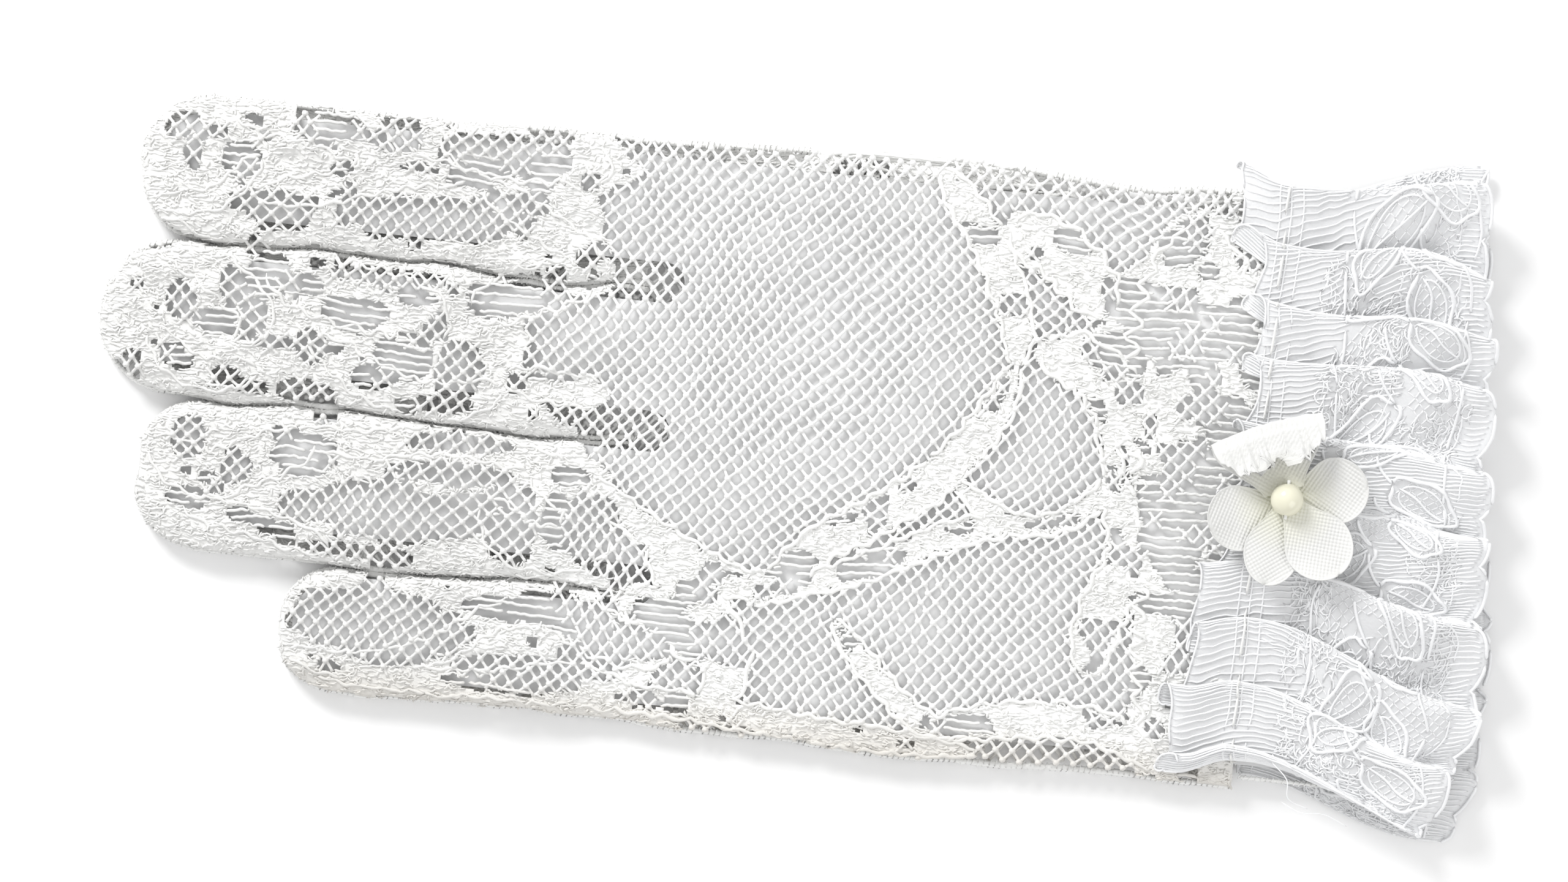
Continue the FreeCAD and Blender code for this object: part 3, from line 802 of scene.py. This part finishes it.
for label, upper in (("seam_index_side_upper", True), ("seam_index_side_lower", True),
                     ("seam_little_side", False)):
    low, high = corners(label)
    seam(label, side_line(low[0], high[0], upper))


# ---------------------------------------------------------------- thumb

def thumb_inside(x, y):
    """Whether points lie in the folded thumb, up to its root."""
    return (thumb_place(x, y) < 1) & (y < THUMB_ROOT[1])


def gusset(name, profile, node):
    """Lace that joins the thumb's root to the glove, along a profile of (y, z) points."""
    profile = np.array(profile)
    share = np.linspace(0, 1, 14)
    knots = np.linspace(0, 1, len(profile))
    reach = THUMB_HALF / abs(math.sin(THUMB_ANGLE))
    x, s = np.meshgrid(np.linspace(THUMB_ROOT[0] - reach, THUMB_ROOT[0] + reach, 60), share,
                       indexing="ij")
    middle = 1 - np.abs((x - THUMB_ROOT[0]) / reach) ** 3
    y = (ROOT_EDGE + (np.interp(s, knots, profile[:, 0]) - ROOT_EDGE) * middle
         + 0.08 * noise(x, s * 9, 1.2, 3))
    z = np.interp(s, knots, profile[:, 1]) + 0.05 * noise(x, s * 9, 1.0, 4)
    parts = Parts()
    parts.sheet(np.stack([x, y, z], axis=-1), np.ones(x.shape, bool), CLOTH)
    for column in range(1, 13, 2):
        line = np.stack([x[:, column], y[:, column], z[:, column]], axis=1)
        parts.threads([(line, 0.2 + 0.05 * noise(x[:, column], column, 0.8, 5))])
    piece = parts.make(name, LACE)
    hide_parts(node)
    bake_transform(piece)
    return piece


GUSSETS = {
    "thumb_back_panel": ((46.0, 2.1), (46.8, 1.95), (47.3, 1.5), (47.3, 0.9), (46.8, 0.45),
                         (46.2, 0.32), (45.8, 0.3)),
    "thumb_palm_panel": ((45.6, 1.85), (46.5, 1.8), (46.9, 1.4), (46.5, 1.05), (45.8, 0.98)),
}
THUMB_MOTIFS = [(6.0, [(8, 44), (4, 36), (-4, 28), (-6, 20)]),
                (5.0, [(20, 44), (14, 34), (8, 26)]),
                (6.0, [(-14, 0), (-16, 8), (-10, 14), (-4, 16)]),
                (4.0, [(-6, -6), (0, 4), (2, 16)])]
thumb_low, thumb_high = corners("thumb_back_panel")
for node, level, seed in (("thumb_back_panel", 0.26, 70), ("thumb_palm_panel", 0.9, 80)):
    region = (thumb_low[:2], thumb_high[:2])
    lace_panel(node.replace("_panel", "_lace"), Pattern(THUMB_MOTIFS, [], [], seed),
               lambda x, y, level=level: level + 0.04 * noise(x, y, 3, 9) + 0 * x, thumb_inside,
               region, region, node, "thumb",
               [gusset(node.replace("_panel", "_gusset"), GUSSETS[node], node)])

turn = np.linspace(-math.pi / 2, math.pi / 2, 40)
axis = np.array([math.cos(THUMB_ANGLE), math.sin(THUMB_ANGLE)])
normal = np.array([-axis[1], axis[0]])
thumb_line = []
for sign in (-1, 1):
    steps = np.arange(0, THUMB_LENGTH - THUMB_HALF, 0.8)
    edge = THUMB_ROOT + steps[:, None] * axis + sign * (THUMB_HALF - 0.3) * normal
    edge = edge[edge[:, 1] < THUMB_ROOT[1] - 0.2]
    thumb_line.append(edge if sign < 0 else edge[::-1])
cap = (THUMB_ROOT + (THUMB_LENGTH - THUMB_HALF) * axis
       + (THUMB_HALF - 0.3) * (np.cos(turn)[:, None] * axis + np.sin(turn)[:, None] * normal))
thumb_line = np.concatenate([thumb_line[0], cap, thumb_line[1]])
thumb_line = np.column_stack([thumb_line, np.full(len(thumb_line), 0.6)])
seam("seam_thumb", thumb_line, radius=0.3, body="thumb")


# ---------------------------------------------------------------- ruffle

LOWER_STITCH_X = corners("ruffle_lower")[0][0]
STITCH_X = 73.0
FOLD = 21.0          # trim taken up by one gather
FILM = 0.12          # thickness of the sheer cloth
STRIPE_PITCH = 0.66
NET_U = 1.5
NET_V = 0.95
SHORT_THREADS = 5200


HEADER = ((-50, -9), (-40, -12), (-33, -11), (-26, -7), (-21, -10), (-12, -6), (5, -4),
          (18, -3), (27, -3.5), (36, -4), (42, -7), (47, -9), (52, -5))
FREE_END = ((-52, 32), (-44, 36), (-34, 40), (-20, 39.5), (0, 38.5), (20, 36.5), (30, 35),
            (44, 33), (52, 31))
UPPER_FLAT = 92.0


def upper_phase(u, v):
    """Angle of the fold at a point: a turn for each fold, some wide and some narrow."""
    return (2 * math.pi * u / FOLD + 3.3 * noise(u, v * 0.6, 34, 4)
            + 0.07 * v * noise(u, 0 * u, 48, 6))


def upper_place(u, v):
    """Point of the upper trim: u runs along it, v across it from the stitch line."""
    free = smooth(v, 2, 32)
    head = smooth(-v, 0, 9)
    phase = upper_phase(u, v)
    size = 1 + 0.5 * noise(u, v * 0.5, 19, 5)
    slide = (3.9 - 1.6 * free) * size
    lift = (0.9 + 1.5 * free + 0.6 * head) * size
    y = (u / UPPER_FLAT * (46.0 + 6.5 * free + 3.0 * head) + slide * np.sin(phase)
         + 2.0 * noise(u, v, 18, 7) * free)
    x = STITCH_X + v * (0.985 - 0.03 * np.abs(np.sin(phase / 2))) + 0.7 * noise(u, v, 12, 9) * free
    z = (5.0 + 1.2 * free + lift * np.sin(phase) + 0.7 * noise(u, v, 8, 10)
         + 0.75 * free * noise(u, v, 4.5, 11))
    floor = np.where(x < CUFF + 1, 4.25, 3.5) + 0.1 * noise(u, v, 3, 2)
    return np.stack([x, y, np.maximum(z, floor)], axis=-1)


LOWER_FLAT = 66.0


def lower_place(u, v):
    """Point of the trim under the palm side, lying almost flat."""
    free = smooth(v, 0, 30)
    phase = 2 * math.pi * u / 15.0 + noise(u, v, 30, 11)
    y = u / LOWER_FLAT * (46.0 + 8.0 * free) + 1.3 * np.sin(phase)
    x = LOWER_STITCH_X + v * (0.99 + 0.02 * noise(u, v, 20, 12))
    z = 0.95 + (0.25 + 0.3 * free) * np.sin(phase) + 0.1 * noise(u, v, 9, 13)
    return np.stack([x, y, np.clip(z, 0.25, 1.8)], axis=-1)


def scallop(u, depth=1.7, pitch=9.5):
    """Depth of the scalloped edge, 0 at the points that reach furthest."""
    return depth * np.abs(np.sin(math.pi * u / pitch)) ** 0.6 - depth


def trim(name, place, half_flat, start, end, seed, loose=()):
    """Sheer trim with stripes, net, corded leaves and a scalloped edge.

    start(u) and end(u) are where the cloth begins and ends across the trim. loose holds the
    points of thread ends that have come free.
    """
    u, share = np.meshgrid(np.arange(-half_flat, half_flat + 0.01, 0.7), np.linspace(0, 1, 60),
                           indexing="ij")
    film = Parts()
    film.sheet(place(u, start(u) + (end(u) - start(u)) * share), np.ones(u.shape, bool), FILM)
    threads, found = Parts(), []
    rng = np.random.default_rng(seed)
    leaves = []
    for centre in np.arange(-half_flat + 7, half_flat - 5, 13.5):
        for level, turn in ((16.5, 0.9), (26.0, -0.7)):
            leaves.append((centre + rng.uniform(-2, 2) + (6 if level > 20 else 0),
                           level + rng.uniform(-2, 2), turn + rng.uniform(-0.5, 0.5),
                           rng.uniform(4.4, 6.4), rng.uniform(2.6, 3.8)))

    def lay(u, v, radius, lift=0.12):
        spot = place(u, v)
        spot[:, 2] += lift
        found.append((spot, radius + 0 * u))

    def on_leaf(leaf, along, across):
        cu, cv, turn = leaf[:3]
        return (cu + along * math.cos(turn) - across * math.sin(turn),
                cv + along * math.sin(turn) + across * math.cos(turn))

    def lengths(step, count, inset=0):
        return np.array_split(np.arange(inset - half_flat, half_flat - inset, step), count)

    def in_leaf(u, v):
        inside = np.zeros(np.shape(u), bool)
        for cu, cv, turn, long, wide in leaves:
            along = (u - cu) * math.cos(turn) + (v - cv) * math.sin(turn)
            across = (v - cv) * math.cos(turn) - (u - cu) * math.sin(turn)
            inside |= (along / long) ** 2 + (across / wide) ** 2 < 0.85
        return inside

    def open_net(u, v):
        return in_leaf(u, v) | ((v > 11) & (noise(u, v, 7.5, seed + 2) > 0.12))

    for rung in np.arange(-half_flat + 0.3, half_flat, STRIPE_PITCH):
        v = np.arange(float(start(rung)) + 0.2, float(end(rung)) - 0.3, 0.9)
        line = np.stack([rung + 0.2 * noise(v, rung + 0 * v, 1.6, seed), v], axis=1)
        open_here = open_net(line[:, 0], v) & (v < float(end(rung)) - 5.5)
        for run in runs_of(line, ~open_here):
            lay(run[:, 0], run[:, 1], 0.16 + 0.05 * noise(run[:, 0] * 5, run[:, 1], 2.2, 8))
    for level in (-1.2, 0.6, 2.6):
        for part in lengths(0.9, 12):
            lay(part, level + 0.4 * noise(part, 0 * part, 3, seed + 2), 0.17)
    for part in lengths(0.5, 24):
        lay(part, end(part) - 0.15, 0.32)
        lay(part, end(part) - 5.4 + 0.5 * noise(part, 0 * part, 2, seed), 0.17)
        lay(part, start(part) + 0.1, 0.2)
    for leaf in leaves:
        long, wide = leaf[3:]
        t = np.linspace(0, 2 * math.pi, 34)
        swell = 1 + 0.08 * np.sin(5 * t)
        lay(*on_leaf(leaf, swell * long * np.cos(t), swell * wide * np.sin(t)),
            0.36 + 0.06 * np.sin(9 * t), 0.2)
        t = np.linspace(-1, 1, 14)
        vein_u, vein_v = on_leaf(leaf, 0.85 * long * t, 0)
        lay(vein_u, vein_v + 0.6 * np.sin(3 * t), 0.24, 0.2)
        t = np.linspace(0, 1, 14)
        tip_u, tip_v = on_leaf(leaf, long, 0)
        lay(tip_u + 5 * t, tip_v - 6 * t * (1 - 0.5 * t), 0.3, 0.2)
    for leaf in leaves:
        t = np.linspace(0, 2 * math.pi, 28)
        lay(*on_leaf(leaf, 0.72 * leaf[3] * np.cos(t), 0.72 * leaf[4] * np.sin(t)), 0.2, 0.15)
    for level, swing in ((11.5, 2.2), (30.5, 1.4)):
        for part in lengths(0.6, 20, 1):
            lay(part, level + swing * noise(part, level + 0 * part, 6, seed + 5),
                0.26 + 0.06 * noise(part, 0 * part, 2, seed), 0.2)
    threads.threads(found)
    spread = rng.uniform(size=(SHORT_THREADS, 3))
    su, sv = (2 * spread[:, 0] - 1) * (half_flat - 1), 7 + 27 * spread[:, 1]
    filled = (noise(su, sv, 6.5, seed + 6) > 0.02) & ~in_leaf(su, sv) & (sv < end(su) - 4)
    su, sv, turn = su[filled, None], sv[filled, None], 2 * math.pi * spread[filled, 2:]
    t = np.linspace(-1, 1, 5)[None, :]
    paths = place(su + 1.1 * t * np.cos(turn) - 0.6 * t * t * np.sin(turn),
                  sv + 1.1 * t * np.sin(turn) + 0.6 * t * t * np.cos(turn))
    paths[..., 2] += 0.14
    threads.tubes(paths, np.full(paths.shape[:2], 0.19), sides=3)
    for path in loose:
        line = spline(path, 0.5)
        threads.threads([(line, np.full(len(line), 0.09))], sides=5)
    i, j = np.meshgrid(np.arange(int(2 * half_flat / NET_U)), np.arange(56), indexing="ij")
    gu = -half_flat + NET_U * (i + 0.5 * (j % 2)) + 0.2 * noise(i, j, 1.3, seed + 3)
    gv = -10 + NET_V * j + 0.2 * noise(i, j, 1.2, seed + 4)
    keep = open_net(gu, gv) & (gv > start(gu)) & (gv < end(gu) - 4.8)
    spot = place(gu, gv)
    for ends in strands(*i.shape):
        both = np.logical_and(*ends(keep))
        one, two = (end[both] for end in ends(spot))
        t = np.array([0.0, 0.1, 0.9, 1.0])[None, :, None]
        paths = one[:, None] * (1 - t) + two[:, None] * t
        paths[..., 2] += 0.08
        threads.tubes(paths, np.full(paths.shape[:2], 0.15), sides=3)
    pieces = [film.make(name + "_film", SHEER), threads.make(name + "_threads", TRIM)]
    for piece in pieces:
        attach(piece, name, "glove")
    across = float(np.mean(end(u) - start(u)))


def upper_start(u):
    """Where the upper trim's gathered heading begins, across from the stitch line."""
    edge = np.interp(np.asarray(u) / UPPER_FLAT * 50, *zip(*HEADER))
    return edge + 1.8 * np.cos(upper_phase(u, -9 + 0 * u)) + 0.6 * noise(u, 0 * u, 3, 9)


def upper_end(u):
    return np.interp(np.asarray(u) / UPPER_FLAT * 52, *zip(*FREE_END)) + scallop(u)


def lower_start(u):
    """The lower trim begins at its stitch line."""
    return 0.0 * u


def lower_end(u):
    y = np.asarray(u) / LOWER_FLAT * 54
    return np.interp(y, (-54, -46, -20, 0, 54), (34, 38.4, 38.4, 36, 31)) + scallop(u, 1.6, 8.5)


LOOSE_ENDS = [[(88.6, 9.6, 6.2), (90.4, 11.4, 7.6), (91.6, 14.6, 7.9), (92.6, 16.8, 6.6)],
              [(81.5, -49.6, 5.6), (84.8, -51.0, 6.4), (88.6, -51.0, 5.2), (92.6, -52.6, 4.6)],
              [(79.5, -43.5, 6.0), (82.0, -46.0, 7.2), (82.6, -49.0, 6.6), (86.0, -50.4, 6.0)]]
trim("ruffle_upper", upper_place, UPPER_FLAT, upper_start, upper_end, 3, LOOSE_ENDS)
trim("ruffle_lower", lower_place, LOWER_FLAT, lower_start, lower_end, 5)

low, high = corners("ruffle_join_seam")
x = np.arange(low[0], high[0], 0.8)
seam("ruffle_join_seam", np.column_stack([x, np.full(len(x), (low[1] + high[1]) / 2),
                                          2.6 + 0.1 * noise(x, 0 * x, 4, 3)]), radius=0.3)


def stitches(label, place_of):
    """A row of small slanting stitches."""
    parts = Parts()
    found = []
    for y in np.arange(-45.0, 45.0, 2.4):
        t = np.linspace(0, 1, 7)
        spots = place_of(y + 1.9 * t)
        spots[:, 2] += 0.25 * np.sin(t * math.pi)
        spots[:, 0] += 0.35 * (t - 0.5)
        found.append((spots, np.full(7, 0.2)))
    parts.threads(found, sides=6)
    attach(parts.make(label + "_stitches", SEAM), label, "glove")


def upper_stitch(y):
    spot = upper_place(y / 46.0 * UPPER_FLAT, 0 * y)
    spot[:, 2] += 0.3
    return spot


def lower_stitch(y):
    return np.column_stack([np.full(len(y), LOWER_STITCH_X - 0.2), y, np.full(len(y), 0.95)])


stitches("gathering_thread_upper", upper_stitch)
stitches("gathering_thread_lower", lower_stitch)


# ---------------------------------------------------------------- flower


def petal(node, length, width, lift, curl, angle, seed, fold=1.0, blunt=2, base=0.36):
    """A cupped petal with its basket weave in the mesh."""
    base_z = corners(node)[0][2] + 0.15
    s, t = np.meshgrid(np.linspace(0, 1, 120), np.linspace(-1, 1, 120), indexing="ij")
    reach = 1.3 + s * length
    round_end = np.clip(1 - np.clip((s - 0.56) / 0.44, 0, 1) ** blunt, 0.003, 1) ** (1 / blunt)
    half = width / 2 * round_end * (base + (1 - base) * smooth(s, -0.05, 0.56))
    side = t * half
    rim = smooth(np.maximum(np.abs(t), s), 0.9, 0.98)
    z = (lift * s + curl * t ** 2 * smooth(s, 0.1, 0.9) + 0.5 * curl * smooth(s, 0.6, 1.0)
         + 0.35 * np.sin(2.6 * t + seed) * smooth(s, 0.4, 1) - 0.6 * np.sin(math.pi * s))
    fray = 0.1 * noise(side, seed + 0 * s, 0.8, 14) + 0.08 * noise(side, seed + 0 * s, 0.35, 13)
    crease = fold - (0 if fold == 1 else 0.05) * t ** 2
    past = np.clip(s - crease, 0, None) * length * (1 + fray)
    bent = reach - 2 * past * smooth(past, 0, 1.2)
    z = z + 1.1 * smooth(past, 0, 1.8) + 0.2 * smooth(past, 2, 5) * noise(side, past, 1.6, 15)
    pitch = 0.4
    weave = np.sin(math.pi * reach / pitch) * np.sin(math.pi * side / pitch)
    z = z + (0.11 if fold == 1 else 0.08) * weave * (1 - rim) + 0.09 * rim
    turn = math.radians(angle)
    x = FLOWER[0] + bent * math.cos(turn) - side * math.sin(turn)
    y = FLOWER[1] + bent * math.sin(turn) + side * math.cos(turn)
    parts = Parts()
    parts.sheet(np.stack([x, y, base_z + z], axis=-1), np.ones(x.shape, bool), CLOTH)
    piece = parts.make(node + "_cloth", PETAL)
    attach(piece, node, "glove")


petal("petal_cuff_side", 11.6, 10.6, 1.5, 0.8, 16, 1)
petal("petal_finger_side", 11.8, 10.6, 1.2, 0.7, 207, 2)
petal("petal_little_side", 12.6, 9.0, 0.7, 0.5, 260, 3)
petal("petal_corner", 13.0, 10.8, 0.5, 0.6, 310, 4)
petal("petal_index_side", 16.0, 18.4, 1.5, 0.5, 112, 5, fold=0.68, blunt=3, base=0.34)

PEARL_RADIUS = 2.6
centre = sum(corners("pearl")) / 2
bpy.ops.mesh.primitive_uv_sphere_add(segments=64, ring_count=40, radius=PEARL_RADIUS * MM,
                                     location=(0, 0, 0))
pearl = bpy.context.active_object
pearl.name = "pearl_bead"
for vertex in pearl.data.vertices:
    out = vertex.co.normalized()
    dent = 0.35 * math.exp(-((1 - abs(out.y)) / 0.012))
    swell = 1 + 0.012 * math.sin(5 * out.x + 2 * out.z) - dent * 0.2
    vertex.co = out * PEARL_RADIUS * MM * swell + Vector(centre * MM)
for face in pearl.data.polygons:
    face.use_smooth = True
pearl.data.materials.append(PEARL)
attach(pearl, "pearl", "glove")

# ---------------------------------------------------------------- CAD pieces that stay

for node, finish in (("insert_card", CARD), ("flower_backing", FELT), ("pearl_thread", SEAM)):
    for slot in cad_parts[node].material_slots:
        slot.material = finish

# ---------------------------------------------------------------- floor, lights, camera

bpy.ops.mesh.primitive_plane_add(size=3, location=(0, 0, -0.0002))
floor = bpy.context.active_object
floor.name = "floor"
floor_finish = material("floor_paper", (0.97, 0.97, 0.97), vary=0.005, rough=0.9, bump=0.02,
                        scale=300, sheen=0.0)
floor.data.materials.append(floor_finish)

world = bpy.data.worlds.new("studio")
world.use_nodes = True
fill(world.node_tree.nodes["Background"], Color=(1, 1, 1, 1), Strength=0.75)
bpy.context.scene.world = world


def light(name, place, size, power):
    """Square soft light that faces the glove; place is in metres."""
    data = bpy.data.lights.new(name, "AREA")
    data.size = size
    data.energy = power
    lamp = bpy.data.objects.new(name, data)
    lamp.location = place
    lamp.rotation_euler = (Vector((0, 0, 0)) - Vector(place)).to_track_quat("-Z", "Y").to_euler()
    bpy.context.scene.collection.objects.link(lamp)


light("key", (-0.5, 0.6, 0.5), 0.3, 6.2)
light("fill", (0.6, -0.4, 0.6), 0.6, 1.6)

TILT = math.radians(5.8)
VIEW_HEIGHT = 0.7528
camera_data = bpy.data.cameras.new("camera")
camera_data.sensor_width = 36
camera_data.lens = 108
camera_data.clip_start = 0.01
camera = bpy.data.objects.new("camera", camera_data)
camera.location = (-0.0027, -0.0006, VIEW_HEIGHT)
camera.rotation_euler = (0, 0, TILT)
bpy.context.scene.collection.objects.link(camera)
bpy.context.scene.camera = camera
bpy.context.scene.view_settings.view_transform = "Standard"
